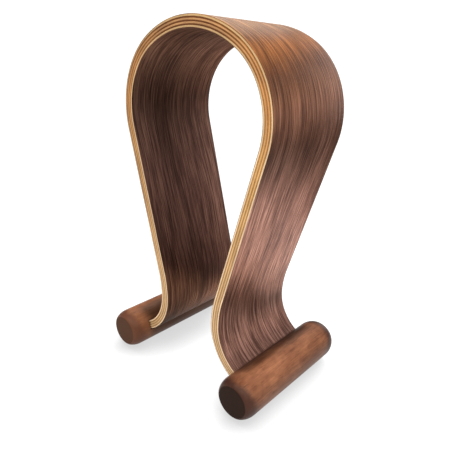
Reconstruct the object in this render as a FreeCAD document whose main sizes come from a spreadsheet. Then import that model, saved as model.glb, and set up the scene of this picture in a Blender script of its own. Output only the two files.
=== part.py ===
import FreeCAD, Part

# Headphone stand of bent plywood: an omega-shaped strip whose two ends stand in round foot bars.
# The strip is a sandwich of nine layers, and each layer is a piece of its own. Screws from the
# underside of the bars hold the strip's tongues, and rubber pads keep the bars off the desk.
# Frame: millimetres, +Z up, strip width along Y with the front at -Y, foot bars at -X and +X.
# The origin is on the desk, at the middle of the footprint.
import math
import os

import Sketcher
from FreeCAD import Placement, Rotation, Vector

# Driving dimensions: alias, value in millimetres or degrees, meaning.
# Radii of the strip are those of its middle surface.
DIMENSIONS = (
    ("strip_width", 80.0, "strip, along Y"),
    ("veneer_thickness", 0.4, "each walnut face"),
    ("ply_thickness", 1.0, "each of the seven core plies"),
    ("crown_height", 258.4, "desk to the middle surface at the crown"),
    ("crown_radius", 75.0, "bend over the top"),
    ("crown_half_angle", 30.5, "turn of the crown bend on each side"),
    ("shoulder_radius", 53.3, "tighter bend down the side of the hoop"),
    ("ankle_radius", 82.0, "reverse bend below the waist"),
    ("ankle_turn", 15.0, "turn of the ankle bend"),
    ("foot_radius", 40.6, "tighter reverse bend into the foot bar"),
    ("tongue_slope", 30.5, "straight end of the strip, below horizontal"),
    ("tongue_length", 16.0, "straight end of the strip"),
    ("tongue_drop", 3.2, "tongue's middle surface below the bar's axis, square to the tongue"),
    ("tongue_reach", 1.1, "tongue's end past the bar's axis, along the tongue"),
    ("bar_span", 125.0, "foot bars, axis to axis"),
    ("bar_diameter", 32.0, "foot bar"),
    ("bar_length", 115.0, "foot bar, along Y"),
    ("bar_edge_radius", 3.5, "rounding beside the bar's end face"),
    ("bar_edge_turn", 60.0, "turn of that rounding"),
    ("bar_shoulder_radius", 14.5, "slacker rounding that runs out into the bar's side"),
    ("slot_length", 82.0, "groove in the bar, along Y"),
    ("slot_clearance", 0.1, "groove to each face of the strip"),
    ("slot_end_gap", 0.5, "groove's bottom past the tongue's end"),
    ("screw_pitch", 50.0, "front screw to rear screw, along Y"),
    ("screw_inset", 6.0, "screw axis from the bar's axis, towards the other bar"),
    ("screw_depth", 10.0, "flat of the screw head below the bar's axis"),
    ("screw_length", 20.0, "whole screw"),
    ("screw_diameter", 3.5, "screw shank"),
    ("screw_tip", 4.0, "pointed end of the screw"),
    ("head_diameter", 7.0, "countersunk head"),
    ("head_height", 2.2, "countersunk head"),
    ("recess_span", 4.0, "cross recess, tip to tip"),
    ("recess_width", 0.9, "cross recess, each slot"),
    ("recess_depth", 1.2, "cross recess"),
    ("access_diameter", 8.0, "bore that sinks the screw head"),
    ("clearance_diameter", 4.0, "screw hole through the strip"),
    ("pad_diameter", 8.0, "anti-slip pad"),
    ("pad_thickness", 2.0, "anti-slip pad"),
    ("pad_proud", 0.6, "pad below the bar"),
    ("pad_edge", 0.4, "rounding of the pad's lower edge"),
    ("pad_pitch", 84.0, "front pad to rear pad, along Y"),
)

SIDES = (("left", -1), ("right", 1))
ENDS = (("front", -1), ("rear", 1))
CORE_PLIES = 7
LEG_LEAN_START = 15.9      # first guess for the leg's lean in degrees, refined by the sketch solver
LEG_LENGTH_START = 113.6   # first guess for the straight leg in millimetres, refined likewise

BAR_HEIGHT = "(Sizes.bar_diameter / 2 + Sizes.pad_proud)"
HALF_CORE = f"Sizes.ply_thickness * {CORE_PLIES / 2}"
SLOPE = "Sizes.tongue_slope"
START, END, CENTRE = 1, 2, 3
X_AXIS, Y_AXIS = -1, -2


def make_sheet(doc):
    """Puts the driving dimensions into the document's sheet."""
    sheet = doc.addObject("Spreadsheet::Sheet", "Sizes")
    for row, (alias, value, meaning) in enumerate(DIMENSIONS, start=1):
        sheet.set(f"A{row}", alias)
        sheet.set(f"B{row}", str(value))
        sheet.set(f"C{row}", meaning)
        sheet.setAlias(f"B{row}", alias)
    doc.recompute()
    return sheet


def origin_plane(body, role):
    """Returns the body's own origin plane or axis with the given role."""
    return next(item for item in body.Origin.OriginFeatures if item.Role == role)


def make_body(doc, label):
    body = doc.addObject("PartDesign::Body", label)
    body.Label = label
    return body


def make_sketch(body, name, plane, offset=None):
    """Adds a sketch on one of the body's own origin planes."""
    sketch = body.newObject("Sketcher::SketchObject", f"{body.Name}_{name}")
    sketch.AttachmentSupport = [(origin_plane(body, plane), "")]
    sketch.MapMode = "FlatFace"
    if offset is not None:
        sketch.AttachmentOffset = offset
    return sketch


def bind(sketch, name, expression, kind, *where):
    """Adds a dimensional constraint whose value follows the sheet."""
    value = sketch.evalExpression(expression)
    number = float(getattr(value, "Value", value))
    if kind == "Angle":
        number = math.radians(number)
        expression = f"({expression}) * 1 deg"
    index = sketch.addConstraint(Sketcher.Constraint(kind, *where, number))
    sketch.renameConstraint(index, name)
    sketch.setExpression(f"Constraints.{name}", expression)


def tie(sketch, kind, *where):
    """Adds a geometric constraint."""
    sketch.addConstraint(Sketcher.Constraint(kind, *where))


def add_line(sketch, start, end):
    return sketch.addGeometry(Part.LineSegment(Vector(*start, 0), Vector(*end, 0)), False)


def add_arc(sketch, centre, radius, start_degrees, end_degrees):
    circle = Part.Circle(Vector(*centre, 0), Vector(0, 0, 1), radius)
    arc = Part.ArcOfCircle(circle, math.radians(start_degrees), math.radians(end_degrees))
    return sketch.addGeometry(arc, False)


def point_from(centre, radius, degrees):
    """The point at a distance and direction from another."""
    angle = math.radians(degrees)
    return (centre[0] + radius * math.cos(angle), centre[1] + radius * math.sin(angle))


def add_strip_side(sketch, size, offset):
    """Draws one face of the right half of the strip, offset outwards from the middle surface.

    Returns the edges from the crown to the tongue, in order."""
    lean = LEG_LEAN_START
    crown = (0.0, size("crown_height") - size("crown_radius"))
    crown_end = 90.0 - size("crown_half_angle")
    shoulder = point_from(crown, size("crown_radius") - size("shoulder_radius"), crown_end)
    leg_start = point_from(shoulder, size("shoulder_radius"), -lean)
    leg_end = point_from(leg_start, LEG_LENGTH_START, -90.0 - lean)
    ankle = point_from(leg_end, size("ankle_radius"), -lean)
    ankle_end = 180.0 - lean + size("ankle_turn")
    foot = point_from(ankle, size("ankle_radius") - size("foot_radius"), ankle_end)
    foot_end = 270.0 - size("tongue_slope")
    tongue_start = point_from(foot, size("foot_radius") - offset, foot_end)
    tongue_end = point_from(tongue_start, size("tongue_length"), -size("tongue_slope"))
    return (
        add_arc(sketch, crown, size("crown_radius") + offset, crown_end, 90.0),
        add_arc(sketch, shoulder, size("shoulder_radius") + offset, -lean, crown_end),
        add_line(sketch, point_from(leg_start, offset, -lean), point_from(leg_end, offset, -lean)),
        add_arc(sketch, ankle, size("ankle_radius") - offset, 180.0 - lean, ankle_end),
        add_arc(sketch, foot, size("foot_radius") - offset, ankle_end, foot_end),
        add_line(sketch, tongue_start, tongue_end),
    )


def join_strip_side(sketch, crown, shoulder, leg, ankle, foot, tongue):
    """Makes one face of the strip a smooth chain that starts square on the sketch's Y axis."""
    tie(sketch, "PointOnObject", crown, END, Y_AXIS)
    tie(sketch, "Tangent", crown, START, shoulder, END)
    tie(sketch, "Tangent", shoulder, START, leg, START)
    tie(sketch, "Tangent", leg, END, ankle, START)
    tie(sketch, "Tangent", ankle, END, foot, START)
    tie(sketch, "Tangent", foot, END, tongue, START)


def draw_half_layer(sketch, size, outside, inside):
    """Draws the right half of one layer between two offsets from the middle surface.

    The leg's length and lean are left to the solver, which closes the gap between the crown and
    the foot bar."""
    outer = add_strip_side(sketch, size, size.of(outside))
    inner = add_strip_side(sketch, size, size.of(inside))
    for chain in (outer, inner):
        join_strip_side(sketch, *chain)
    crown, shoulder, leg, ankle, foot, tongue = outer
    tie(sketch, "PointOnObject", crown, CENTRE, Y_AXIS)
    for outer_arc, inner_arc in zip((crown, shoulder, ankle, foot), (inner[0], inner[1], *inner[3:5])):
        tie(sketch, "Coincident", outer_arc, CENTRE, inner_arc, CENTRE)
    tie(sketch, "Parallel", leg, inner[2])
    tie(sketch, "Parallel", tongue, inner[5])

    top = add_line(sketch, (0.0, size("crown_height") + size.of(outside)),
                   (0.0, size("crown_height") + size.of(inside)))
    tie(sketch, "Coincident", top, START, crown, END)
    tie(sketch, "Coincident", top, END, inner[0], END)
    tips = [sketch.getPoint(chain[5], END) for chain in (outer, inner)]
    tip = add_line(sketch, (tips[0].x, tips[0].y), (tips[1].x, tips[1].y))
    tie(sketch, "Coincident", tip, START, tongue, END)
    tie(sketch, "Coincident", tip, END, inner[5], END)
    tie(sketch, "Perpendicular", tip, tongue)

    bind(sketch, "crown_outside", f"Sizes.crown_radius + {outside}", "Radius", crown)
    bind(sketch, "crown_inside", f"Sizes.crown_radius + {inside}", "Radius", inner[0])
    bind(sketch, "shoulder_outside", f"Sizes.shoulder_radius + {outside}", "Radius", shoulder)
    bind(sketch, "ankle_outside", f"Sizes.ankle_radius - {outside}", "Radius", ankle)
    bind(sketch, "foot_outside", f"Sizes.foot_radius - {outside}", "Radius", foot)
    bind(sketch, "crown_turn", "Sizes.crown_half_angle", "Angle", crown)
    bind(sketch, "ankle_turn", "Sizes.ankle_turn", "Angle", ankle)
    bind(sketch, "tongue_angle", f"-{SLOPE}", "Angle", tongue)
    bind(sketch, "tongue_length", "Sizes.tongue_length", "Distance", tongue)
    bind(sketch, "top_height", f"Sizes.crown_height + {outside}", "DistanceY", X_AXIS, START, crown, END)
    above = f"({outside} - Sizes.tongue_drop)"
    tip_x = f"Sizes.bar_span / 2 + Sizes.tongue_reach * cos({SLOPE}) + {above} * sin({SLOPE})"
    tip_z = f"{BAR_HEIGHT} - Sizes.tongue_reach * sin({SLOPE}) + {above} * cos({SLOPE})"
    bind(sketch, "tip_x", tip_x, "DistanceX", X_AXIS, START, tongue, END)
    bind(sketch, "tip_z", tip_z, "DistanceY", X_AXIS, START, tongue, END)


def make_layer(doc, size, label, outside, inside):
    """One layer of the bent strip, with clearance holes for the four screws."""
    body = make_body(doc, label)
    sketch = make_sketch(body, "profile", "XZ_Plane")
    draw_half_layer(sketch, size, outside, inside)
    layer = body.newObject("PartDesign::Pad", f"{label}_half")
    layer.Profile = sketch
    layer.SideType = "Symmetric"
    layer.setExpression("Length", "Sizes.strip_width")

    holes = make_sketch(body, "hole_centres", "XY_Plane")
    holes.setExpression(".AttachmentOffset.Base.x", "Sizes.bar_span / 2 - Sizes.screw_inset")
    holes.setExpression(".AttachmentOffset.Base.z", BAR_HEIGHT)
    for end_name, end in ENDS:
        centre = Vector(0, end * size("screw_pitch") / 2, 0)
        circle = Part.Circle(centre, Vector(0, 0, 1), size("clearance_diameter") / 2)
        hole = holes.addGeometry(circle, False)
        tie(holes, "PointOnObject", hole, CENTRE, Y_AXIS)
        bind(holes, f"{end_name}_diameter", "Sizes.clearance_diameter", "Diameter", hole)
        bind(holes, f"{end_name}_place", f"{end} * Sizes.screw_pitch / 2", "DistanceY",
             X_AXIS, START, hole, CENTRE)
    drilled = body.newObject("PartDesign::Pocket", f"{label}_holes")
    drilled.Profile = holes
    drilled.SideType = "Symmetric"
    drilled.setExpression("Length", "Sizes.bar_diameter")

    whole = body.newObject("PartDesign::Mirrored", f"{label}_whole")
    whole.Originals = [layer, drilled]
    whole.MirrorPlane = (origin_plane(body, "YZ_Plane"), [""])
    body.Tip = whole
    return body


def make_strip(doc, size):
    """The nine layers of the strip, from the outer walnut face to the inner one."""
    face = f"({HALF_CORE} + Sizes.veneer_thickness)"
    layers = [make_layer(doc, size, "outer_face_veneer", face, f"({HALF_CORE})")]
    for number in range(1, CORE_PLIES + 1):
        outside = f"({HALF_CORE} - Sizes.ply_thickness * {number - 1})"
        inside = f"({HALF_CORE} - Sizes.ply_thickness * {number})"
        layers.append(make_layer(doc, size, f"core_ply_{number}", outside, inside))
    layers.append(make_layer(doc, size, "inner_face_veneer", f"(-{HALF_CORE})", f"(-{face})"))
    return layers


def draw_bar_profile(sketch, size):
    """Half section of a foot bar: flat ends, two tangent roundings at each, straight side."""
    radius = size("bar_diameter") / 2
    half = size("bar_length") / 2
    edge = size("bar_edge_radius")
    slack = size("bar_shoulder_radius")
    turn = math.radians(size("bar_edge_turn"))
    flat = radius - edge * math.sin(turn) - slack * (1 - math.sin(turn))
    run_out = edge * (1 - math.cos(turn)) + slack * math.cos(turn)
    degrees = size("bar_edge_turn")
    axis = add_line(sketch, (0, half), (0, -half))
    side = add_line(sketch, (radius, -half + run_out), (radius, half - run_out))
    for end in (1, -1):
        face = add_line(sketch, (0, end * half), (flat, end * half))
        edge_centre = (flat, end * (half - edge))
        slack_centre = (radius - slack, end * (half - run_out))
        if end > 0:
            tight = add_arc(sketch, edge_centre, edge, 90 - degrees, 90)
            gentle = add_arc(sketch, slack_centre, slack, 0, 90 - degrees)
            joints = ((face, END, tight, END), (tight, START, gentle, END), (gentle, START, side, END))
        else:
            tight = add_arc(sketch, edge_centre, edge, -90, degrees - 90)
            gentle = add_arc(sketch, slack_centre, slack, degrees - 90, 0)
            joints = ((face, END, tight, START), (tight, END, gentle, START), (gentle, END, side, START))
        for joint in joints:
            tie(sketch, "Tangent", *joint)
        tie(sketch, "Coincident", face, START, axis, START if end > 0 else END)
        name = "rear" if end > 0 else "front"
        bind(sketch, f"{name}_edge_radius", "Sizes.bar_edge_radius", "Radius", tight)
        bind(sketch, f"{name}_shoulder_radius", "Sizes.bar_shoulder_radius", "Radius", gentle)
        bind(sketch, f"{name}_edge_turn", "Sizes.bar_edge_turn", "Angle", tight)
        tie(sketch, "Horizontal", face)
    tie(sketch, "Vertical", side)
    tie(sketch, "Symmetric", axis, START, axis, END, X_AXIS, START)
    tie(sketch, "PointOnObject", axis, START, Y_AXIS)
    bind(sketch, "bar_length", "Sizes.bar_length", "Distance", axis)
    bind(sketch, "bar_radius", "Sizes.bar_diameter / 2", "DistanceX", X_AXIS, START, side, START)


def draw_box(sketch, size, low_x, low_y, high_x, high_y):
    """A rectangle between two corners given as expressions."""
    left, low, right, high = (size.of(item) for item in (low_x, low_y, high_x, high_y))
    corners = ((left, low), (right, low), (right, high), (left, high))
    edges = [add_line(sketch, corners[i], corners[(i + 1) % 4]) for i in range(4)]
    for i in range(4):
        tie(sketch, "Coincident", edges[i], END, edges[(i + 1) % 4], START)
        tie(sketch, "Horizontal" if i % 2 == 0 else "Vertical", edges[i])
    bind(sketch, "low_x", low_x, "DistanceX", X_AXIS, START, edges[0], START)
    bind(sketch, "low_y", low_y, "DistanceY", X_AXIS, START, edges[0], START)
    bind(sketch, "high_x", high_x, "DistanceX", X_AXIS, START, edges[2], START)
    bind(sketch, "high_y", high_y, "DistanceY", X_AXIS, START, edges[2], START)


def cut_slot(body, size):
    """The groove that takes the strip's tongue, open on the side that faces the other bar."""
    turn = Placement(Vector(), Rotation(Vector(0, 0, -1), size("tongue_slope")))
    sketch = make_sketch(body, "slot_section", "XZ_Plane", turn)
    sketch.setExpression(".AttachmentOffset.Rotation.Angle", SLOPE)
    half = f"({HALF_CORE} + Sizes.veneer_thickness + Sizes.slot_clearance)"
    draw_box(sketch, size, "-Sizes.bar_diameter", f"-Sizes.tongue_drop - {half}",
             "Sizes.tongue_reach + Sizes.slot_end_gap", f"-Sizes.tongue_drop + {half}")
    slot = body.newObject("PartDesign::Pocket", f"{body.Name}_slot")
    slot.Profile = sketch
    slot.SideType = "Symmetric"
    slot.setExpression("Length", "Sizes.slot_length")
    return slot


def draw_screw_half(sketch, size, head_top, sink):
    """Half section of a countersunk screw that points along +Y of the sketch, on its Y axis.

    head_top is the height of the head's flat. Where sink is given, the section also has the
    access bore that runs back from the head by that distance. Both are expressions."""
    shank = "Sizes.screw_diameter / 2"
    corners = [
        ("Sizes.head_diameter / 2", head_top),
        (shank, f"{head_top} + Sizes.head_height"),
        (shank, f"{head_top} + Sizes.screw_length - Sizes.screw_tip"),
        (None, f"{head_top} + Sizes.screw_length"),
    ]
    if sink is None:
        corners.append((None, head_top))
    else:
        bore = "Sizes.access_diameter / 2"
        back = f"{head_top} - {sink}"
        corners += [(None, back), (bore, back), (bore, head_top)]
    points = [(size.of(across) if across else 0.0, size.of(along)) for across, along in corners]
    count = len(points)
    edges = [add_line(sketch, points[i], points[(i + 1) % count]) for i in range(count)]
    for i, (across, along) in enumerate(corners):
        tie(sketch, "Coincident", edges[i], END, edges[(i + 1) % count], START)
        if across:
            bind(sketch, f"across_{i}", across, "DistanceX", X_AXIS, START, edges[i], START)
        else:
            tie(sketch, "PointOnObject", edges[i], START, Y_AXIS)
        bind(sketch, f"along_{i}", along, "DistanceY", X_AXIS, START, edges[i], START)


def cut_screw_hole(body, size, end_name, end):
    """Access bore, countersink and hole for one screw, straight up from the bar's underside."""
    sketch = make_sketch(body, f"{end_name}_hole_section", "XZ_Plane")
    sketch.setExpression(".AttachmentOffset.Base.x", "-Sizes.screw_inset")
    sketch.setExpression(".AttachmentOffset.Base.z", f"{-end} * Sizes.screw_pitch / 2")
    draw_screw_half(sketch, size, "-Sizes.screw_depth", "Sizes.bar_diameter / 4")
    hole = body.newObject("PartDesign::Groove", f"{body.Name}_{end_name}_hole")
    hole.Profile = sketch
    hole.ReferenceAxis = (sketch, ["V_Axis"])
    hole.Angle = 360
    return hole


def cut_pad_seat(body, size, end_name, end):
    """Flat seat for one anti-slip pad in the bar's underside."""
    sketch = make_sketch(body, f"{end_name}_seat_outline", "XY_Plane")
    sketch.setExpression(".AttachmentOffset.Base.z", f"Sizes.pad_thickness - {BAR_HEIGHT}")
    centre = Vector(0, end * size("pad_pitch") / 2, 0)
    circle = sketch.addGeometry(Part.Circle(centre, Vector(0, 0, 1), size("pad_diameter") / 2), False)
    tie(sketch, "PointOnObject", circle, CENTRE, Y_AXIS)
    bind(sketch, "seat_diameter", "Sizes.pad_diameter", "Diameter", circle)
    bind(sketch, "seat_place", f"{end} * Sizes.pad_pitch / 2", "DistanceY", X_AXIS, START, circle, CENTRE)
    seat = body.newObject("PartDesign::Pocket", f"{body.Name}_{end_name}_seat")
    seat.Profile = sketch
    seat.Type = "ThroughAll"
    return seat


def make_bar(doc, size, side_name, side):
    """A foot bar about its own centre, then set in its place. The left one is turned round."""
    body = make_body(doc, f"{side_name}_foot_bar")
    sketch = make_sketch(body, "half_section", "XY_Plane")
    draw_bar_profile(sketch, size)
    turned = body.newObject("PartDesign::Revolution", f"{body.Name}_turned")
    turned.Profile = sketch
    turned.ReferenceAxis = (sketch, ["V_Axis"])
    turned.Angle = 360
    doc.recompute()
    steps = [("turned", turned.Shape.Volume)]
    cuts = [("slot", cut_slot(body, size))]
    for end_name, end in ENDS:
        cuts.append((f"{end_name} screw hole", cut_screw_hole(body, size, end_name, end)))
        cuts.append((f"{end_name} pad seat", cut_pad_seat(body, size, end_name, end)))
    for name, cut in cuts:
        doc.recompute()
        if not cut.Shape.Volume < steps[-1][1]:
            raise RuntimeError(f"{body.Label}: the {name} cuts nothing")
        steps.append((name, cut.Shape.Volume))
    body.Placement = Placement(Vector(), Rotation(Vector(0, 0, 1), 0 if side > 0 else 180))
    body.setExpression("Placement.Base.x", f"{side} * Sizes.bar_span / 2")
    body.setExpression("Placement.Base.z", BAR_HEIGHT)
    return body


def make_screw(doc, size, side_name, side, end_name, end):
    """A countersunk wood screw with a cross recess, upright, with its head underneath."""
    body = make_body(doc, f"{side_name}_{end_name}_screw")
    sketch = make_sketch(body, "half_section", "XZ_Plane")
    draw_screw_half(sketch, size, "0", None)
    turned = body.newObject("PartDesign::Revolution", f"{body.Name}_turned")
    turned.Profile = sketch
    turned.ReferenceAxis = (sketch, ["V_Axis"])
    turned.Angle = 360
    for name, long_way in (("first", "x"), ("second", "y")):
        slot = make_sketch(body, f"{name}_recess_outline", "XY_Plane")
        reach = {"x": "Sizes.recess_width / 2", "y": "Sizes.recess_width / 2", long_way: "Sizes.recess_span / 2"}
        draw_box(slot, size, f"-{reach['x']}", f"-{reach['y']}", reach["x"], reach["y"])
        recess = body.newObject("PartDesign::Pocket", f"{body.Name}_{name}_recess")
        recess.Profile = slot
        recess.Reversed = True
        recess.setExpression("Length", "Sizes.recess_depth")
    body.setExpression("Placement.Base.x", f"{side} * (Sizes.bar_span / 2 - Sizes.screw_inset)")
    body.setExpression("Placement.Base.y", f"{end} * Sizes.screw_pitch / 2")
    body.setExpression("Placement.Base.z", f"{BAR_HEIGHT} - Sizes.screw_depth")
    return body


def make_pad(doc, size, side_name, side, end_name, end):
    """A round rubber pad with its lower edge rounded, standing on the desk."""
    disc = doc.addObject("Part::Cylinder", f"{side_name}_{end_name}_disc")
    disc.setExpression("Radius", "Sizes.pad_diameter / 2")
    disc.setExpression("Height", "Sizes.pad_thickness")
    doc.recompute()
    low_edge = min(range(3), key=lambda i: disc.Shape.Edges[i].CenterOfMass.z) + 1
    pad = doc.addObject("Part::Fillet", f"{side_name}_{end_name}_pad")
    pad.Base = disc
    pad.Edges = [(low_edge, size("pad_edge"), size("pad_edge"))]
    pad.Label = f"{side_name}_{end_name}_pad"
    pad.setExpression("Placement.Base.x", f"{side} * Sizes.bar_span / 2")
    pad.setExpression("Placement.Base.y", f"{end} * Sizes.pad_pitch / 2")
    return pad


class Sizes:
    """Reads the sheet: a dimension by its alias, or any expression of dimensions."""

    def __init__(self, sheet):
        self.sheet = sheet

    def __call__(self, alias):
        return float(self.sheet.get(alias))

    def of(self, expression):
        value = self.sheet.evalExpression(expression)
        return float(getattr(value, "Value", value))


def check(doc, parts):
    """Stops on any failed object, unsolved sketch, or sub-part without one valid solid."""
    for item in doc.Objects:
        if {"Invalid", "Error"} & set(item.State):
            raise RuntimeError(f"{item.Label} failed: {item.State}")
        if item.isDerivedFrom("Sketcher::SketchObject") and item.solve() != 0:
            raise RuntimeError(f"{item.Label} is not solved")
    for part in parts:
        shape = part.Shape
        if shape.isNull() or not shape.isValid() or len(shape.Solids) != 1:
            raise RuntimeError(f"{part.Label} has no single valid solid")


def main():
    doc = FreeCAD.newDocument("headphone_stand")
    size = Sizes(make_sheet(doc))
    parts = make_strip(doc, size)
    for side_name, side in SIDES:
        parts.append(make_bar(doc, size, side_name, side))
        for end_name, end in ENDS:
            parts.append(make_screw(doc, size, side_name, side, end_name, end))
            parts.append(make_pad(doc, size, side_name, side, end_name, end))
    doc.recompute()
    check(doc, parts)
    os.makedirs("parts", exist_ok=True)
    for part in parts:
        part.Shape.exportStep(f"parts/{part.Label}.step")
        box = part.Shape.BoundBox
        print(f"{part.Label}: {part.Shape.Volume:.1f} mm3, X {box.XMin:.2f}..{box.XMax:.2f},"
              f" Y {box.YMin:.2f}..{box.YMax:.2f}, Z {box.ZMin:.2f}..{box.ZMax:.2f}")
    return doc, parts


main()
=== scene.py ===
"""Looks for a bent plywood headphone stand: nine bent layers, two foot bars, four screws and four pads."""

import math

import bmesh
import bpy
from mathutils import Matrix, Vector


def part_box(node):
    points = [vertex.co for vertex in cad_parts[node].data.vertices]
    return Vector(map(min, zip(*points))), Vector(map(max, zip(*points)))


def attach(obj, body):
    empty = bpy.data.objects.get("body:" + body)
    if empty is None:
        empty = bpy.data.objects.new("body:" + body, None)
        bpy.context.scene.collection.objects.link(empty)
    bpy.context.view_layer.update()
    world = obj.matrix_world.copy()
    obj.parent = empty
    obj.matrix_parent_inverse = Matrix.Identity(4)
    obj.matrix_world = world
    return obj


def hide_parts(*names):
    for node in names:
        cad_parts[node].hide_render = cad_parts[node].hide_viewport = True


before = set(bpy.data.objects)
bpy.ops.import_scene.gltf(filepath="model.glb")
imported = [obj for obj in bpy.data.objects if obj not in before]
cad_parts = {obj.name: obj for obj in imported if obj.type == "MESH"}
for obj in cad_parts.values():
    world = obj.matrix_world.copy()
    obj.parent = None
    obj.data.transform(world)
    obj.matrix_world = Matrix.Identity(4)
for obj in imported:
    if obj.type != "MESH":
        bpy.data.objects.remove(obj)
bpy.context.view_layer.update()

MM = 0.001
BODY = "root"
# Faces that turn by more degrees than this meet in a hard edge.
SMOOTH_UNDER = 35.0
# Rounded edges have this many steps, and cutters reach this many millimetres past what they cut.
EASE_STEPS, OVERCUT = 4, 1.0

# The strip's middle surface, from the crown's centre down one side, in millimetres and degrees.
CROWN_RADIUS, CROWN_TURN = 75.0, 30.5
SHOULDER_RADIUS = 53.3
LEG_LEAN, LEG_LENGTH = 15.885, 113.657
ANKLE_RADIUS, ANKLE_TURN = 82.0, 15.0
FOOT_RADIUS, TONGUE_SLOPE = 40.6, 30.5
TONGUE_LENGTH = 16.0
# The longest steps between its stations: degrees round an arc and millimetres along a straight.
ARC_STEP, STRAIGHT_STEP = 1.5, 4.0

# The layers' number and thicknesses, and the radius that their edges are eased to, in millimetres.
PLIES, PLY, VENEER = 7, 1.0, 0.4
HALF_CORE = PLIES * PLY / 2
PLY_EASE, VENEER_EASE = 0.05, 0.3

# The foot bars, in millimetres and degrees. The slot drops below the axis and reaches past it.
BAR_POINTS, MOUTH_STEPS, END_STEPS = 96, 6, 8
BAR_EDGE_RADIUS, BAR_EDGE_TURN, BAR_SHOULDER_RADIUS = 3.5, 60.0, 14.5
SLOT_LENGTH, SLOT_HALF_HEIGHT, SLOT_DROP, SLOT_REACH = 82.0, 4.0, 3.2, 1.6
SLOT_EASE = 0.4

# The screws and the holes that take them, in millimetres.
SCREW_RADIUS, SCREW_CORE, SCREW_PITCH = 1.75, 1.2, 1.8
SCREW_HEAD_RADIUS, SCREW_HEAD_RIM, SCREW_HEAD_HEIGHT = 3.5, 0.25, 2.2
SCREW_PLAIN, SCREW_TIP, SCREW_POINT_RADIUS = 5.0, 4.0, 0.1
# The thread's points round it and levels to a turn, its crest's half width as a share of the pitch, and the
# share of its radius that the blunt point keeps.
THREAD_POINTS, THREAD_LEVELS, CREST, BLUNT = 36, 12, 0.22, 0.06
RECESS_LENGTH, RECESS_WIDTH, RECESS_DEPTH, RECESS_FLOOR = 4.0, 0.9, 1.2, 0.6
BORE_RADIUS, CLEARANCE_RADIUS = 4.0, 2.0
BORE_POINTS, CLEARANCE_POINTS = 40, 32

# The pads, in millimetres. The ring pressed into the lower face is given as (radius, depth) pairs.
PAD_EASE, PAD_MIDDLE, PAD_POINTS = 0.4, 0.02, 64
PAD_RING = ((2.6, 0.0), (2.4, 0.15), (1.9, 0.15), (1.7, 0.0))


# ---------------------------------------------------------------- meshes


def new_piece(name, verts, faces):
    """A mesh object whose faces point outwards. Its places are given in millimetres."""
    mesh = bpy.data.meshes.new(name)
    mesh.from_pydata([Vector(v) * MM for v in verts], [], faces)
    shape = bmesh.new()
    shape.from_mesh(mesh)
    bmesh.ops.recalc_face_normals(shape, faces=shape.faces)
    shape.to_mesh(mesh)
    shape.free()
    piece = bpy.data.objects.new(name, mesh)
    bpy.context.scene.collection.objects.link(piece)
    smooth(piece)
    return piece


def smooth(piece):
    """Shades a piece smoothly, except at its hard edges."""
    piece.data.polygons.foreach_set("use_smooth", [True] * len(piece.data.polygons))
    piece.data.set_sharp_from_angle(angle=math.radians(SMOOTH_UNDER))


def rings_mesh(rings):
    """Points and faces for a stack of closed rings of equal size, with a face over each end."""
    size = len(rings[0])
    verts = [point for ring in rings for point in ring]
    faces = [
        (r * size + i, r * size + (i + 1) % size, (r + 1) * size + (i + 1) % size, (r + 1) * size + i)
        for r in range(len(rings) - 1)
        for i in range(size)
    ]
    faces.append(tuple(range(size)))
    faces.append(tuple(range((len(rings) - 1) * size, len(rings) * size)))
    return verts, faces


def carve(piece, cutters):
    """Cuts each shape out of a piece, keeps the result as its mesh and removes the shapes."""
    for cutter in cutters:
        cut = piece.modifiers.new("cut", "BOOLEAN")
        cut.operation, cut.solver, cut.object = "DIFFERENCE", "EXACT", cutter
    graph = bpy.context.evaluated_depsgraph_get()
    carved = bpy.data.meshes.new_from_object(
        piece.evaluated_get(graph), preserve_all_data_layers=True, depsgraph=graph
    )
    piece.modifiers.clear()
    carved.name = piece.name
    piece.data = carved
    for cutter in cutters:
        bpy.data.objects.remove(cutter)
    smooth(piece)


def upright(name, centre, profile, points):
    """A turned shape on a vertical axis, with points round it. The profile is (radius, height) pairs, in
    millimetres."""
    x, y = centre
    turns = [math.tau * i / points for i in range(points)]
    rings = [[(x + r * math.cos(t), y + r * math.sin(t), z) for t in turns] for r, z in profile]
    return new_piece(name, *rings_mesh(rings))


# ---------------------------------------------------------------- the bent strip


def strip_stations():
    """Stations down one side of the middle surface: distance along it, x, z and angle below the level."""
    shoulder_turn = 90 + LEG_LEAN - CROWN_TURN
    foot_turn = 90 + LEG_LEAN - ANKLE_TURN - TONGUE_SLOPE
    runs = (
        (CROWN_RADIUS, CROWN_TURN),
        (SHOULDER_RADIUS, shoulder_turn),
        (None, LEG_LENGTH),
        (ANKLE_RADIUS, -ANKLE_TURN),
        (FOOT_RADIUS, -foot_turn),
        (None, TONGUE_LENGTH),
    )
    crown_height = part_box("outer_face_veneer")[1].z / MM - HALF_CORE - VENEER
    stations = [(0.0, 0.0, crown_height, 0.0)]
    for radius, amount in runs:
        s0, x0, z0, angle0 = stations[-1]
        if radius is None:
            steps = math.ceil(amount / STRAIGHT_STEP)
            for i in range(1, steps + 1):
                run = amount * i / steps
                x, z = x0 + run * math.cos(angle0), z0 - run * math.sin(angle0)
                stations.append((s0 + run, x, z, angle0))
            continue
        turn = math.radians(amount)
        bend = math.copysign(radius, turn)
        steps = math.ceil(abs(amount) / ARC_STEP)
        for i in range(1, steps + 1):
            angle = angle0 + turn * i / steps
            x = x0 + bend * (math.sin(angle) - math.sin(angle0))
            z = z0 - bend * (math.cos(angle0) - math.cos(angle))
            stations.append((s0 + abs(bend * (angle - angle0)), x, z, angle))
    return stations


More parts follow.
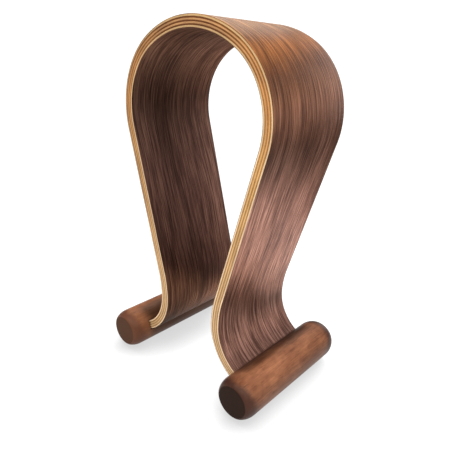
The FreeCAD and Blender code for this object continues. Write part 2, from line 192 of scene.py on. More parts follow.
def layer_section(outer, inner, outer_ease, inner_ease):
    """The outline of a layer across the strip, as (y, height above the middle surface) pairs."""
    half_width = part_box("outer_face_veneer")[1].y / MM
    corners = (
        (1, outer - outer_ease, outer_ease, 0),
        (-1, outer - outer_ease, outer_ease, 90),
        (-1, inner + inner_ease, inner_ease, 180),
        (1, inner + inner_ease, inner_ease, 270),
    )
    outline = []
    for side, level, ease, start in corners:
        steps = EASE_STEPS if ease > PLY_EASE else 1
        for i in range(steps + 1):
            turn = math.radians(start + 90 * i / steps)
            y = side * (half_width - ease) + ease * math.cos(turn)
            outline.append((y, level + ease * math.sin(turn)))
    return outline


def bent_layer(name, outer, inner, outer_ease=PLY_EASE, inner_ease=PLY_EASE):
    """One bent layer, pierced for the screws. Its grain attribute holds the distances along the strip,
    across it and through it, in metres."""
    half = strip_stations()
    path = [(-s, -x, z, -angle) for s, x, z, angle in reversed(half[1:])] + half
    outline = layer_section(outer, inner, outer_ease, inner_ease)
    rings, grain = [], []
    for s, x, z, angle in path:
        rings.append([(x + lift * math.sin(angle), y, z + lift * math.cos(angle)) for y, lift in outline])
        grain += [(s * MM, y * MM, lift * MM) for y, lift in outline]
    piece = new_piece(name, *rings_mesh(rings))
    store = piece.data.attributes.new("grain", "FLOAT_VECTOR", "CORNER")
    corners = [value for loop in piece.data.loops for value in grain[loop.vertex_index]]
    store.data.foreach_set("vector", corners)
    carve(piece, [clearance_hole(place) for place in screw_places().values()])
    return piece


def clearance_hole(place):
    """A cutter for the hole that a screw passes through the strip by."""
    x, y, low, high = place
    profile = [(CLEARANCE_RADIUS, low), (CLEARANCE_RADIUS, high)]
    return upright("clearance", (x, y), profile, CLEARANCE_POINTS)


# ---------------------------------------------------------------- screws and pads


def screw_places():
    """Where each screw stands, by its side and end: x, y, its head's level and its point's."""
    places = {}
    for side in ("left", "right"):
        for end in ("front", "rear"):
            low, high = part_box(f"{side}_{end}_screw")
            centre = (low + high) / 2 / MM
            places[side, end] = (centre.x, centre.y, low.z / MM, high.z / MM)
    return places


def screw_profile(low, high):
    """A screw's outline from its head up to its point, without its thread."""
    return [
        (SCREW_HEAD_RADIUS, low),
        (SCREW_RADIUS, low + SCREW_HEAD_HEIGHT),
        (SCREW_RADIUS, high - SCREW_TIP),
        (SCREW_POINT_RADIUS, high),
    ]


def threaded_screw(name, place):
    """A countersunk wood screw, head down, with a cut thread and a cross recess."""
    x, y, low, high = place
    thread_start = low + SCREW_PLAIN
    levels = [low, low + SCREW_HEAD_RIM, low + SCREW_HEAD_HEIGHT, thread_start]
    count = math.ceil((high - thread_start) / (SCREW_PITCH / THREAD_LEVELS))
    levels += [thread_start + (high - thread_start) * i / count for i in range(1, count + 1)]
    rings = []
    for z in levels:
        ring = []
        for i in range(THREAD_POINTS):
            turn = math.tau * i / THREAD_POINTS
            radius = screw_radius(z - low, high - z, turn)
            ring.append((x + radius * math.cos(turn), y + radius * math.sin(turn), z))
        rings.append(ring)
    piece = new_piece(name, *rings_mesh(rings))
    carve(piece, [recess_bar(place, 0), recess_bar(place, 90)])
    return piece


def screw_radius(above, left, turn):
    """The screw's radius at a height above its head's face, with the length left to the point."""
    if above <= SCREW_HEAD_RIM:
        return SCREW_HEAD_RADIUS
    if above < SCREW_HEAD_HEIGHT:
        share = (above - SCREW_HEAD_RIM) / (SCREW_HEAD_HEIGHT - SCREW_HEAD_RIM)
        return SCREW_HEAD_RADIUS + (SCREW_RADIUS - SCREW_HEAD_RADIUS) * share
    if above <= SCREW_PLAIN:
        return SCREW_RADIUS
    phase = (above / SCREW_PITCH - turn / math.tau) % 1.0
    crest = max(0.0, 1 - abs(phase - 0.5) / CREST)
    ease_in = min(1.0, (above - SCREW_PLAIN) / SCREW_PITCH)
    core = SCREW_RADIUS + (SCREW_CORE - SCREW_RADIUS) * ease_in
    taper = min(1.0, BLUNT + left / SCREW_TIP)
    return (core + (SCREW_RADIUS - core) * crest) * taper


def recess_bar(place, turn):
    """A cutter for one bar of the screw's cross recess, narrower at its floor."""
    x, y, low, _ = place
    spin = Matrix.Rotation(math.radians(turn), 2)
    rings = []
    for z, scale in ((low - OVERCUT, 1.0), (low, 1.0), (low + RECESS_DEPTH, RECESS_FLOOR)):
        length, width = RECESS_LENGTH / 2 * scale, RECESS_WIDTH / 2 * scale
        corners = [(length, width), (-length, width), (-length, -width), (length, -width)]
        rings.append([(*(spin @ Vector(corner) + Vector((x, y))), z) for corner in corners])
    return new_piece("recess", *rings_mesh(rings))


def rubber_pad(name, node):
    """A round pad with an eased edge and a shallow ring in the face that it stands on."""
    low, high = (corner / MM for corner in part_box(node))
    radius = (high.x - low.x) / 2
    profile = [(radius, high.z)]
    for i in range(EASE_STEPS + 1):
        turn = math.radians(90 * i / EASE_STEPS)
        drop = PAD_EASE * (1 - math.sin(turn))
        profile.append((radius - PAD_EASE * (1 - math.cos(turn)), low.z + drop))
    profile += [(r, low.z + depth) for r, depth in PAD_RING]
    profile.append((PAD_MIDDLE, low.z))
    centre = (low + high) / 2
    return upright(name, (centre.x, centre.y), profile, PAD_POINTS)


# ---------------------------------------------------------------- the foot bars


def slot_outline(radius):
    """The slot's walls in the bar's section, from its lower lip round its floor to its upper lip. The first
    coordinate runs into the slot and the second across it, both from the bar's axis."""
    low, high = -SLOT_DROP - SLOT_HALF_HEIGHT, -SLOT_DROP + SLOT_HALF_HEIGHT
    outline = []
    for wall, side in ((low, -1), (high, 1)):
        across = wall + side * SLOT_EASE
        centre = (-math.sqrt((radius - SLOT_EASE) ** 2 - across**2), across)
        start = math.atan2(centre[1], centre[0]) % math.tau
        end = math.radians(90 if side < 0 else 270)
        lip = []
        for i in range(EASE_STEPS + 1):
            turn = start + (end - start) * i / EASE_STEPS
            lip.append((centre[0] + SLOT_EASE * math.cos(turn), centre[1] + SLOT_EASE * math.sin(turn)))
        outline += lip + [(SLOT_REACH, wall)] if side < 0 else [(SLOT_REACH, wall)] + lip[::-1]
    return outline


def bar_end_rings(radius, half_length):
    """The rounded end of a bar, as (radius, y) pairs from the straight part out to the flat face."""
    rings = []
    edge = math.radians(BAR_EDGE_TURN)
    disc = radius - BAR_EDGE_RADIUS * math.sin(edge) - BAR_SHOULDER_RADIUS * (1 - math.sin(edge))
    edge_y = half_length - BAR_EDGE_RADIUS * (1 - math.cos(edge))
    for i in range(END_STEPS + 1):
        turn = math.radians(90) - (math.radians(90) - edge) * i / END_STEPS
        y = edge_y - BAR_SHOULDER_RADIUS * (math.cos(edge) - math.cos(turn))
        rings.append((radius - BAR_SHOULDER_RADIUS * (1 - math.sin(turn)), y))
    for i in range(1, END_STEPS + 1):
        turn = edge * (1 - i / END_STEPS)
        y = half_length - BAR_EDGE_RADIUS * (1 - math.cos(turn))
        rings.append((disc + BAR_EDGE_RADIUS * math.sin(turn), y))
    return rings


class RingMesh:
    """Points and faces of a mesh that is made ring by ring."""

    def __init__(self):
        self.verts, self.faces = [], []

    def add(self, places):
        """Adds a ring's points and returns their numbers."""
        first = len(self.verts)
        self.verts.extend(places)
        return list(range(first, first + len(places)))

    def join(self, ring, other, closed=True):
        """Faces between two rings of equal size."""
        for i in range(len(ring) if closed else len(ring) - 1):
            j = (i + 1) % len(ring)
            self.faces.append((ring[i], ring[j], other[j], other[i]))


def bar_mesh(centre, radius, half_length, sign):
    """A bar with its slot, which faces inwards and up. The sign is -1 on the left and 1 on the right. Places
    are worked out in the slot's own directions, along it and across it, from the bar's axis."""
    slope = math.radians(TONGUE_SLOPE)
    slot = slot_outline(radius)
    lower, upper = (math.atan2(slot[at][1], slot[at][0]) % math.tau for at in (0, -1))
    body_steps = BAR_POINTS - MOUTH_STEPS
    body_turns = [lower + (upper + math.tau - lower) * i / body_steps for i in range(body_steps + 1)]
    mouth_turns = [upper + (lower - upper) * i / MOUTH_STEPS for i in range(1, MOUTH_STEPS)]

    def place(along, across, y):
        x = along * math.cos(slope) + across * math.sin(slope)
        z = -along * math.sin(slope) + across * math.cos(slope)
        return (centre.x + sign * x, y, centre.z + z)

    def circle(turns, ring_radius, y):
        return [place(ring_radius * math.cos(t), ring_radius * math.sin(t), y) for t in turns]

    mesh = RingMesh()
    ends = []
    for end in (-1, 1):
        slot_end = end * SLOT_LENGTH / 2
        body = mesh.add(circle(body_turns, radius, slot_end))
        mouth = mesh.add(circle(mouth_turns, radius, slot_end))
        walls = mesh.add([place(along, across, slot_end) for along, across in slot[1:-1]])
        ends.append((body, walls))
        mesh.faces.append((body[-1], *mouth, body[0], *walls))
        ring = body + mouth
        for ring_radius, y in bar_end_rings(radius, half_length):
            outer = mesh.add(circle(body_turns + mouth_turns, ring_radius, end * y))
            mesh.join(ring, outer)
            ring = outer
        mesh.faces.append(tuple(ring))
    front, rear = ends
    for part in range(2):
        mesh.join(front[part], rear[part], closed=False)
    for lip in (0, -1):
        mesh.faces.append((front[0][lip], front[1][lip], rear[1][lip], rear[0][lip]))
    return mesh


def turned_bar(side, sign):
    """A turned foot bar with a slot for the strip, bores for two screws and seats for two pads."""
    low, high = (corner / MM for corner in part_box(f"{side}_foot_bar"))
    mesh = bar_mesh((low + high) / 2, (high.x - low.x) / 2, (high.y - low.y) / 2, sign)
    bar = new_piece(f"turned_bar_{side}", mesh.verts, mesh.faces)
    cutters = [screw_bore(place) for (screw_side, _), place in screw_places().items() if screw_side == side]
    cutters += [pad_seat(f"{side}_{end}_pad") for end in ("front", "rear")]
    carve(bar, cutters)
    return bar


def screw_bore(place):
    """A cutter for the wide bore that a screw goes in by, with the screw's own shape above it."""
    x, y, low, high = place
    profile = [(BORE_RADIUS, -OVERCUT), (BORE_RADIUS, low)] + screw_profile(low, high)
    return upright("bore", (x, y), profile, BORE_POINTS)


def pad_seat(node):
    """A cutter for the shallow seat of a pad."""
    low, high = (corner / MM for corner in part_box(node))
    centre, radius = (low + high) / 2, (high.x - low.x) / 2
    return upright("seat", (centre.x, centre.y), [(radius, -OVERCUT), (radius, high.z)], PAD_POINTS)


# ---------------------------------------------------------------- materials

# Each veneer's tint down one side: millimetres from the crown's centre, then what red, green and blue are
# multiplied by, up to the limit. The tints are partly the veneer's own tone and partly painted light and
# shade: the pale stretch down the outer leg is a painted reflection of the floor, the outer crown's light
# top is partly a painted highlight, and the inner foot, which faces the floor, is painted darker.
TINT_LIMIT = 5.0
OUTER_TONES_AND_LIGHT = (
    (0, 2.0, 2.0, 1.0), (22, 1.95, 1.9, 0.9), (34, 1.05, 0.9, 0.45), (46, 2.1, 1.65, 0.7),
    (60, 0.45, 0.32, 0.2), (72, 1.1, 1.0, 0.75), (84, 1.35, 1.3, 1.25), (104, 0.42, 0.42, 0.42),
    (130, 1.3, 1.35, 1.45), (155, 2.6, 2.8, 3.2), (190, 3.15, 3.4, 3.8), (214, 2.7, 2.7, 2.8),
    (232, 0.9, 0.85, 0.85), (248, 0.65, 0.65, 0.7), (266, 1.8, 2.0, 2.3), (280, 0.8, 0.85, 1.0),
    (304, 0.9, 0.9, 1.0),
)
INNER_TONES_AND_LIGHT = (
    (0, 2.3, 2.3, 2.1), (40, 3.3, 3.3, 2.9), (68, 2.3, 2.3, 2.1), (86, 1.1, 1.1, 1.05),
    (110, 1.7, 1.8, 1.8), (150, 1.85, 1.9, 2.0), (200, 1.6, 1.6, 1.6), (224, 1.2, 1.15, 1.15),
    (240, 1.1, 1.0, 0.9), (258, 4.6, 4.4, 3.5), (278, 0.9, 0.85, 0.7), (304, 0.7, 0.65, 0.5),
)
# Each kind of ply's colours on a screen, at these millimetres along the strip from the crown's centre.
PLY_PLACES = (25, 80, 135, 240)
PLY_COLOURS = {
    "face": ((188, 152, 104), (206, 172, 126), (216, 186, 150), (226, 194, 154)),
    "long": ((172, 126, 80), (196, 138, 84), (200, 155, 98), (204, 168, 122)),
    "cross": ((94, 50, 8), (150, 98, 42), (160, 114, 54), (156, 114, 68)),
}
# Stretches that the looks change over, in metres: along the strip from the crown's centre, and across it.
SHOULDER_TO_LEG, LEG_TO_FOOT = (0.07, 0.19), (0.235, 0.262)
LEFT_SHADE_END, LEFT_SHADE_START = (-0.25, -0.14), (-0.05, -0.02)
FRONT_TO_REAR, INSIDE_TO_OUTSIDE = (-0.03, 0.03), (-0.003, 0.003)


def paint(red, green, blue):
    """A colour given as screen values up to 255, as the linear colour that shaders take."""
    shares = [value / 255 for value in (red, green, blue)]
    linear = [share / 12.92 if share <= 0.04045 else ((share + 0.055) / 1.055) ** 2.4 for share in shares]
    return (*linear, 1.0)


class Recipe:
    """One material's nodes. The methods add nodes and return their outputs."""

    def __init__(self, name):
        self.material = bpy.data.materials.new(name)
        self.material.use_nodes = True
        self.tree = self.material.node_tree
        self.shader = self.tree.nodes["Principled BSDF"]

    def feed(self, target, value):
        if isinstance(value, bpy.types.NodeSocket):
            self.tree.links.new(value, target)
        else:
            target.default_value = value

    def node(self, kind, feeds, **settings):
        made = self.tree.nodes.new(kind)
        for key, value in settings.items():
            setattr(made, key, value)
        for key, value in feeds.items():
            self.feed(made.inputs[key], value)
        return made

    def grain(self):
        return self.node("ShaderNodeAttribute", {}, attribute_name="grain").outputs["Vector"]

    def place(self):
        return self.node("ShaderNodeTexCoord", {}).outputs["Object"]

    def parts(self, vector):
        return self.node("ShaderNodeSeparateXYZ", {0: vector}).outputs

    def scaled(self, vector, by):
        return self.node("ShaderNodeVectorMath", {0: vector, 1: by}, operation="MULTIPLY").outputs[0]

    def moved(self, vector, by):
        return self.node("ShaderNodeVectorMath", {0: vector, 1: by}, operation="ADD").outputs[0]

    def vector(self, x, y, z):
        return self.node("ShaderNodeCombineXYZ", {0: x, 1: y, 2: z}).outputs[0]

    def noise(self, vector, detail=2.0, rough=0.5):
        feeds = {"Vector": vector, "Scale": 1.0, "Detail": detail, "Roughness": rough}
        return self.node("ShaderNodeTexNoise", feeds).outputs[0]

    def calc(self, operation, a, b=0.0, clamp=False):
        return self.node("ShaderNodeMath", {0: a, 1: b}, operation=operation, use_clamp=clamp).outputs[0]

    def times(self, *values):
        """The product of the values."""
        product = values[0]
        for value in values[1:]:
            product = self.calc("MULTIPLY", product, value)
        return product

    def rest(self, share):
        """What a share leaves of the whole."""
        return self.calc("SUBTRACT", 1.0, share)

    def total(self, *shares):
        """The sum of (value, share) pairs."""
        value, share = shares[0]
        level = self.calc("MULTIPLY", value, share)
        for value, share in shares[1:]:
            level = self.calc("ADD", level, self.calc("MULTIPLY", value, share))
        return level

    def spread(self, value, low, high, to_low=0.0, to_high=1.0):
        """Takes the stretch from low to high smoothly to another, and stays level beyond it."""
        feeds = {0: value, 1: low, 2: high, 3: to_low, 4: to_high}
        made = self.node("ShaderNodeMapRange", feeds, interpolation_type="SMOOTHSTEP")
        return made.outputs[0]

    def ramp(self, value, stops, shape="LINEAR"):
        """A colour for a value, from (value, colour) stops."""
        made = self.node("ShaderNodeValToRGB", {0: value})
        made.color_ramp.interpolation = shape
        points = made.color_ramp.elements
        points.remove(points[1])
        points[0].position, points[0].color = stops[0]
        for position, colour in stops[1:]:
            points.new(position).color = colour
        return made.outputs[0]

    def tint(self, value, points):
        """A colour that changes smoothly with a value in metres, close to the points of a tone table."""
        span = points[-1][0]
        stops = [(at / span, (*(level / TINT_LIMIT for level in levels), 1.0)) for at, *levels in points]
        colour = self.ramp(self.calc("DIVIDE", value, span * MM), stops, "B_SPLINE")
        return self.scaled(colour, (TINT_LIMIT, TINT_LIMIT, TINT_LIMIT))

    def blend(self, amount, a, b, mode="MIX"):
        feeds = {0: amount, 6: a, 7: b}
        return self.node("ShaderNodeMix", feeds, data_type="RGBA", blend_type=mode).outputs[2]

    def shaded(self, colour, by):
        """A colour multiplied by a level or by another colour."""
        return self.blend(1.0, colour, by, "MULTIPLY")

    def finish(self, colour, roughness, height=None, depth=0.0, **extra):
        """Feeds the shader and returns the material. The depth of the relief is in metres."""
        self.feed(self.shader.inputs["Base Color"], colour)
        self.feed(self.shader.inputs["Roughness"], roughness)
        for key, value in extra.items():
            socket = key.replace("_", " ").title().replace("Ior", "IOR")
            self.feed(self.shader.inputs[socket], value)
        if height is not None:
            feeds = {"Strength": 1.0, "Distance": depth, "Height": height}
            self.feed(self.shader.inputs["Normal"], self.node("ShaderNodeBump", feeds).outputs[0])
        return self.material


def walnut(name, colours, seed, wander, tones_and_light, slants, edges, foot_edges, sheen):
    """Walnut veneer with its grain along the strip: bands, streaks, lines, dark seams, fibres and pores that
    wander across it by some millimetres. The grain stands out more at the feet. The tone table multiplies
    each side's colour, partly as the veneer's own tone and partly as painted light and shade. They lie at
    the first slant at the shoulder, at the second on the leg and straight across the foot. The edges are the
    levels at the front and the rear, and the foot has its own: painted light and shade across the strip."""
    r = Recipe(name)
    side, across, _ = r.parts(r.grain())
    along = r.calc("ABSOLUTE", side)
    on_foot = r.spread(along, *LEG_TO_FOOT)
    slant = r.times(across, r.spread(along, *SHOULDER_TO_LEG, *slants), r.rest(on_foot))
    # The front and rear levels are painted light and shade across the strip.
    leg_level, foot_level = (r.spread(across, *FRONT_TO_REAR, *levels) for levels in (edges, foot_edges))
    grain = r.moved(r.grain(), (seed, 0, 0))
    drift = r.calc("SUBTRACT", r.noise(r.scaled(grain, (4.5, 10, 0)), 1.0), 0.5)
    grain = r.moved(grain, r.vector(0.0, r.times(drift, wander * MM), 0.0))
    bands = r.noise(r.scaled(grain, (3.5, 38, 0)), 2.0)
    streaks = r.noise(r.scaled(grain, (13, 480, 0)), 3.0, 0.62)
    lines = r.noise(r.scaled(grain, (30, 900, 0)), 4.0, 0.7)
    fibres = r.noise(r.scaled(grain, (60, 2600, 0)), 2.0)
    seams = r.spread(r.noise(r.scaled(grain, (8, 860, 0)), 2.0), 0.55, 0.66)
    dashes = r.spread(r.noise(r.scaled(grain, (55, 950, 0)), 2.0), 0.54, 0.64)
    pores = r.spread(r.noise(r.scaled(grain, (150, 3400, 0)), 1.0), 0.6, 0.7)
    figure = r.total((bands, 0.17), (streaks, 0.28), (lines, 0.55))
    contrast = r.spread(along, 0.215, 0.26, 1.1, 1.3)
    figure = r.calc("ADD", r.times(r.calc("SUBTRACT", figure, 0.5), contrast), 0.5)
    colour = r.ramp(figure, list(zip((0.41, 0.5, 0.59), colours)))
    seams = r.times(seams, r.spread(along, 0.2, 0.25, 0.3, 0.6))
    dark = r.total((seams, 1.0), (dashes, 0.28), (pores, 0.3))
    colour = r.blend(r.calc("MULTIPLY", dark, 1.0, clamp=True), colour, paint(36, 20, 15))
    # Painted light and shade, partly the veneer's own tone: down the strip from the tone table, then across
    # it.
    colour = r.shaded(colour, r.tint(r.calc("ADD", along, slant), tones_and_light))
    colour = r.shaded(colour, r.blend(on_foot, leg_level, foot_level))
    roughness = r.spread(lines, 0.3, 0.7, 0.54, 0.38)
    height = r.total((fibres, 0.3), (lines, 0.4), (dashes, -0.5), (pores, -0.4))
    return r.finish(
        colour, roughness, height, 0.00006, specular_ior_level=sheen, specular_tint=(1.0, 0.62, 0.45, 1.0)
    )


def birch(kind, cells, left_shade):
    """The edge of one kind of birch ply, with specks or streaks of the given fineness. The left shoulder is
    darkened by the given share, a painted shade, more on the strip's outside."""
    r = Recipe(f"birch_{kind}_ply")
    grain = r.grain()
    specks = r.noise(r.scaled(grain, cells), 3.0, 0.6)
    patches = r.noise(r.scaled(grain, (55, 20, 260)), 2.0)
    side, _, lift = r.parts(grain)
    span = PLY_PLACES[-1]
    along = r.total((r.calc("ABSOLUTE", side), 1 / (span * MM)), (r.calc("SUBTRACT", patches, 0.5), 0.25))
    colour = r.ramp(along, [(at / span, paint(*shade)) for at, shade in zip(PLY_PLACES, PLY_COLOURS[kind])])
    tone = r.spread(r.total((specks, 0.65), (patches, 0.35)), 0.35, 0.65, 0.74, 1.2)
    # Painted shade on the left shoulder's edge, deepest in the outer plies.
    left_shade_share = r.times(
        r.spread(side, *LEFT_SHADE_START, 1.0, 0.0),
        r.spread(side, *LEFT_SHADE_END),
        r.spread(lift, *INSIDE_TO_OUTSIDE, 0.25, 1.0),
        left_shade,
    )
    colour = r.shaded(r.blend(left_shade_share, colour, paint(112, 70, 30)), tone)
    return r.finish(colour, r.spread(specks, 0.2, 0.8, 0.66, 0.5), specks, 0.00004, specular_ior_level=0.35)


def stain_and_shade_level(r, fibres, specks):
    """How light the bars' colour lies. The wood's fibres and specks darken it, and so does painted shade:
    low down, towards the rear, and beside and below the strip. The top is painted lighter, a painted
    highlight. Its places are in metres."""
    x, y, z = r.parts(r.place())
    across, end = r.calc("ABSOLUTE", x), r.calc("ABSOLUTE", y)
    beside = r.spread(r.total((z, 0.87), (across, -0.5)), -0.0054, 0.0)
    below = r.spread(across, 0.052, 0.066, 0.55, 0.0)
    # Painted shade beside and below the strip, low down and towards the rear, and a painted highlight along
    # the top.
    return r.times(
        r.rest(r.times(beside, r.spread(end, 0.037, 0.046, 0.56, 0.2))),
        r.rest(r.times(below, r.spread(end, 0.034, 0.046, 1.0, 0.0))),
        r.spread(z, 0.016, 0.031, 0.8, 1.25),
        r.spread(y, -0.03, 0.045, 1.0, 0.8),
        r.spread(fibres, 0.3, 0.7, 0.86, 1.1),
        r.spread(specks, 0.55, 0.68, 1.03, 0.8),
    )


def stained_wood(name, seed, colours, rim_colour, end_colour):
    """Turned hardwood with a brown stain that lies unevenly and carries painted light and shade, and with
    its own colours round the rims and in the end grain."""
    r = Recipe(name)
    place = r.moved(r.place(), (seed, 0, 0))
    clouds = r.noise(r.scaled(place, (60, 44, 60)), 3.0, 0.6)
    mottle = r.noise(r.scaled(place, (230, 150, 230)), 4.0, 0.65)
    lines = r.noise(r.scaled(place, (480, 30, 480)), 3.0, 0.6)
    fibres = r.noise(r.scaled(place, (1900, 90, 1900)), 2.0)
    specks = r.noise(r.scaled(place, (760, 150, 760)), 3.0, 0.6)
    tone = r.total((clouds, 0.45), (mottle, 0.2), (lines, 0.35))
    colour = r.ramp(tone, list(zip((0.34, 0.5, 0.66), colours)))
    colour = r.shaded(colour, stain_and_shade_level(r, fibres, specks))
    _, y, z = r.parts(r.place())
    # Low down and towards the rear the rim colour reaches further along the bar, a painted shade.
    outwards = r.total((r.calc("ABSOLUTE", y), 1.0), (y, 0.03), (z, -0.25), (clouds, 0.014))
    colour = r.blend(r.spread(outwards, 0.0453, 0.0523, 0.0, 0.9), colour, rim_colour)
    facing = r.parts(r.node("ShaderNodeNewGeometry", {}).outputs["Normal"])[1]
    face = r.spread(r.calc("ABSOLUTE", facing), 0.88, 0.97)
    colour = r.blend(face, colour, end_colour)
    roughness = r.total((r.spread(fibres, 0.2, 0.8, 0.48, 0.36), 1.0), (face, 0.3))
    height = r.total((fibres, 0.5), (mottle, 0.5))
    return r.finish(
        colour, roughness, height, 0.00004, specular_ior_level=0.16, specular_tint=(1.0, 0.7, 0.5, 1.0)
    )


def zinc_steel(name):
    """Zinc-plated steel with faint turning marks."""
    r = Recipe(name)
    place = r.place()
    marks = r.noise(r.scaled(place, (900, 900, 5200)), 2.0)
    cloud = r.noise(r.scaled(place, (400, 400, 400)), 2.0)
    colour = r.ramp(cloud, [(0.3, paint(168, 170, 172)), (0.7, paint(205, 206, 204))])
    return r.finish(colour, r.spread(marks, 0.3, 0.7, 0.26, 0.42), marks, 0.00001, metallic=1.0)


def rubber(name):
    """Dark moulded rubber with a fine pebble."""
    r = Recipe(name)
    place = r.place()
    pebble = r.noise(r.scaled(place, (2600, 2600, 2600)), 2.0)
    dust = r.noise(r.scaled(place, (260, 260, 260)), 3.0)
    colour = r.ramp(dust, [(0.35, paint(30, 29, 29)), (0.7, paint(52, 50, 49))])
    return r.finish(colour, r.spread(dust, 0.3, 0.7, 0.72, 0.88), pebble, 0.00003)


# ---------------------------------------------------------------- the object


def settle(piece, node, material):
    """Gives a piece its material and its body, in place of its CAD node."""
    piece.data.materials.clear()
    piece.data.materials.append(material)
    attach(piece, BODY)
    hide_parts(node)


def build_strip():
    """The nine bent layers, from the outer veneer in."""
    outer = (paint(57, 35, 27), paint(91, 60, 47), paint(122, 86, 70))
    inner = (paint(39, 25, 20), paint(66, 44, 37), paint(93, 66, 55))
    outer_walnut = walnut(
        "walnut_outer", outer, seed=1.7, wander=18, tones_and_light=OUTER_TONES_AND_LIGHT, slants=(0.2, -0.55),
        edges=(0.93, 1.06), foot_edges=(0.95, 1.05), sheen=0.12,
    )
    inner_walnut = walnut(
        "walnut_inner", inner, seed=8.3, wander=34, tones_and_light=INNER_TONES_AND_LIGHT, slants=(0.0, -0.5),
        edges=(0.78, 1.25), foot_edges=(0.55, 1.7), sheen=0.03,
    )
    # The last number is each kind's share of the painted shade on the left shoulder.
    plies = {
        "face": birch("face", (24, 60, 2400), 0.5),
        "long": birch("long", (24, 60, 2400), 0.35),
        "cross": birch("cross", (900, 60, 1500), 0.9),
    }
    layer = bent_layer("strip_outer_veneer", HALF_CORE + VENEER, HALF_CORE, VENEER_EASE)
    settle(layer, "outer_face_veneer", outer_walnut)
    for n in range(1, PLIES + 1):
        layer = bent_layer(f"strip_ply_{n}", HALF_CORE - (n - 1) * PLY, HALF_CORE - n * PLY)
        kind = "face" if n in (1, PLIES) else "long" if n % 2 else "cross"
        settle(layer, f"core_ply_{n}", plies[kind])
    layer = bent_layer("strip_inner_veneer", -HALF_CORE, -HALF_CORE - VENEER, PLY_EASE, VENEER_EASE)
    settle(layer, "inner_face_veneer", inner_walnut)


def build_feet():
    """The foot bars with their screws and pads."""
    steel, pad = zinc_steel("zinc_steel"), rubber("pad_rubber")
    # The right bar's colours are a darker copy of the left's: painted shade, as both bars carry one stain.
    left = (paint(96, 58, 37), paint(122, 77, 52), paint(147, 98, 67))
    right = (paint(85, 49, 32), paint(107, 67, 46), paint(134, 88, 61))
    stains = {
        "left": stained_wood("stain_left", -0.37, left, paint(88, 54, 40), paint(74, 47, 32)),
        "right": stained_wood("stain_and_shade_right", 0.37, right, paint(54, 33, 28), paint(34, 19, 14)),
    }
    for side, sign in (("left", -1), ("right", 1)):
        settle(turned_bar(side, sign), f"{side}_foot_bar", stains[side])
    for (side, end), place in screw_places().items():
        screw = threaded_screw(f"wood_screw_{side}_{end}", place)
        settle(screw, f"{side}_{end}_screw", steel)
        node = f"{side}_{end}_pad"
        settle(rubber_pad(f"rubber_{side}_{end}", node), node, pad)


# ---------------------------------------------------------------- studio


# The floor's size and its drop below the pads, in millimetres.
FLOOR_SIDE, FLOOR_FRONT, FLOOR_REAR, FLOOR_DROP = 1500, 1500, 250, 0.1
# The direction of the sky that lights the floor, how far off things hide it, in millimetres, and the shares
# of it that are seen at the darkest and the lightest glow.
SKY_FROM, SKY_REACH = (-0.08, 0.6, 0.8), 42
SKY_SEEN, FLOOR_GLOW = (0.3, 1.0), (0.66, 1.2)

# Each soft light's name, azimuth and elevation in degrees, size in metres and power in watts.
LIGHTS = (
    ("front", 0, 50, 1.1, 16),
    ("right", 90, 50, 1.0, 15),
    ("back_right", 135, 50, 0.8, 2),
    ("back_left", 225, 50, 0.9, 8),
    ("back_low", 180, 15, 0.7, 4),
    ("top", 0, 85, 0.9, 2),
    ("right_low", 112, 18, 0.7, 4),
)
# Their distance from the stand and the height that they point at, in metres.
LIGHT_DISTANCE, LIGHT_AIM = 1.2, 0.12
WORLD_LIGHT, BACKGROUND = 0.05, 1.2

# The camera's azimuth, elevation and roll in degrees, its sensor and lens in millimetres, its place to the
# right of, above and away from the point that it turns about, and that point's height, in metres.
CAMERA_TURN, CAMERA_TILT, CAMERA_ROLL = 40.97, 22.68, 2.365
CAMERA_SENSOR, CAMERA_LENS = 36, 35.39
CAMERA_SHIFT = (-0.0114, 0.0392)
CAMERA_RIGHT, CAMERA_UP, CAMERA_AWAY = 0.00284, -0.02625, 0.3428
CAMERA_HEIGHT = 0.1306


def direction(azimuth, elevation):
    """The direction from the stand to a place. Azimuth 0 is in front and 90 on the right, in degrees."""
    turn, lift = math.radians(azimuth), math.radians(elevation)
    return Vector((math.sin(turn) * math.cos(lift), -math.cos(turn) * math.cos(lift), math.sin(lift)))


def add_floor():
    """A plain white sheet that glows evenly and dims only close to the feet, where they hide the sky from
    it. It can't be seen from below, so that the feet can."""
    corners = [
        (-FLOOR_SIDE, -FLOOR_FRONT, -FLOOR_DROP),
        (FLOOR_SIDE, -FLOOR_FRONT, -FLOOR_DROP),
        (FLOOR_SIDE, FLOOR_REAR, -FLOOR_DROP),
        (-FLOOR_SIDE, FLOOR_REAR, -FLOOR_DROP),
    ]
    floor = new_piece("floor", corners, [(0, 1, 2, 3)])
    if floor.data.polygons[0].normal.z < 0:
        floor.data.flip_normals()
    r = Recipe("floor_white")
    cloud = r.noise(r.scaled(r.place(), (3, 3, 3)), 2.0)
    white = r.ramp(cloud, [(0.3, (0.02, 0.02, 0.02, 1)), (0.7, (0.03, 0.03, 0.03, 1))])
    feeds = {"Distance": SKY_REACH * MM, "Normal": r.vector(*SKY_FROM)}
    sky = r.node("ShaderNodeAmbientOcclusion", feeds, samples=16).outputs["AO"]
    glow = r.spread(sky, *SKY_SEEN, *FLOOR_GLOW)
    floor.data.materials.append(r.finish(white, 0.9, emission_color=(1, 1, 1, 1), emission_strength=glow))
    below = r.node("ShaderNodeNewGeometry", {}).outputs["Backfacing"]
    clear = r.node("ShaderNodeBsdfTransparent", {}).outputs[0]
    surface = r.node("ShaderNodeMixShader", {0: below, 1: r.shader.outputs[0], 2: clear})
    r.feed(r.tree.nodes["Material Output"].inputs["Surface"], surface.outputs[0])


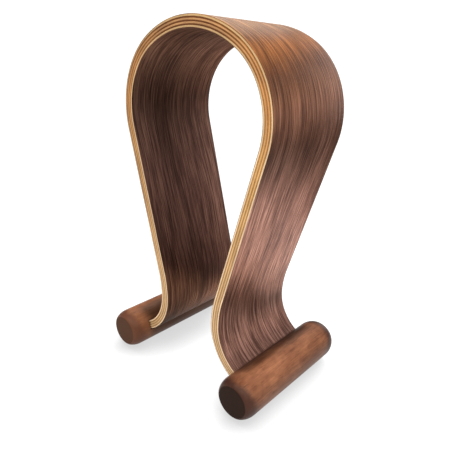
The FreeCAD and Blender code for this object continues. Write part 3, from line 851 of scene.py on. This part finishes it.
def add_light(name, azimuth, elevation, size, power):
    """A square soft light that points at the stand."""
    data = bpy.data.lights.new(name, "AREA")
    data.shape, data.size, data.energy = "SQUARE", size, power
    light = bpy.data.objects.new(name, data)
    away = direction(azimuth, elevation)
    light.location = Vector((0, 0, LIGHT_AIM)) + away * LIGHT_DISTANCE
    light.rotation_euler = (-away).to_track_quat("-Z", "Y").to_euler()
    bpy.context.scene.collection.objects.link(light)


def add_world():
    """Soft light from all round, in front of a plain white background."""
    world = bpy.data.worlds.new("studio")
    bpy.context.scene.world = world
    world.use_nodes = True
    nodes, links = world.node_tree.nodes, world.node_tree.links
    background = nodes["Background"]
    background.inputs["Color"].default_value = (1, 1, 1, 1)
    path = nodes.new("ShaderNodeLightPath")
    level = nodes.new("ShaderNodeMapRange")
    level.inputs["To Min"].default_value = WORLD_LIGHT
    level.inputs["To Max"].default_value = BACKGROUND
    links.new(path.outputs["Is Camera Ray"], level.inputs["Value"])
    links.new(level.outputs[0], background.inputs["Strength"])


def add_camera():
    """The camera, on the right of the front and above it, and rolled a little."""
    away = direction(CAMERA_TURN, CAMERA_TILT)
    turn, roll = math.radians(CAMERA_TURN), math.radians(CAMERA_ROLL)
    level_right = Vector((math.cos(turn), math.sin(turn), 0))
    level_up = away.cross(level_right)
    right = level_right * math.cos(roll) + level_up * math.sin(roll)
    up = level_up * math.cos(roll) - level_right * math.sin(roll)
    data = bpy.data.cameras.new("camera")
    data.sensor_width, data.lens = CAMERA_SENSOR, CAMERA_LENS
    data.shift_x, data.shift_y = CAMERA_SHIFT
    data.clip_start, data.clip_end = 0.01, 20
    camera = bpy.data.objects.new("camera", data)
    bpy.context.scene.collection.objects.link(camera)
    place = Vector((0, 0, CAMERA_HEIGHT)) + right * CAMERA_RIGHT + up * CAMERA_UP + away * CAMERA_AWAY
    facing = Matrix((right, up, away)).transposed().to_4x4()
    camera.matrix_world = Matrix.Translation(place) @ facing
    bpy.context.scene.camera = camera


def add_studio():
    """Floor, lights, background and camera."""
    add_floor()
    add_world()
    for light in LIGHTS:
        add_light(*light)
    add_camera()
    bpy.context.scene.view_settings.view_transform = "Standard"


build_strip()
build_feet()
add_studio()
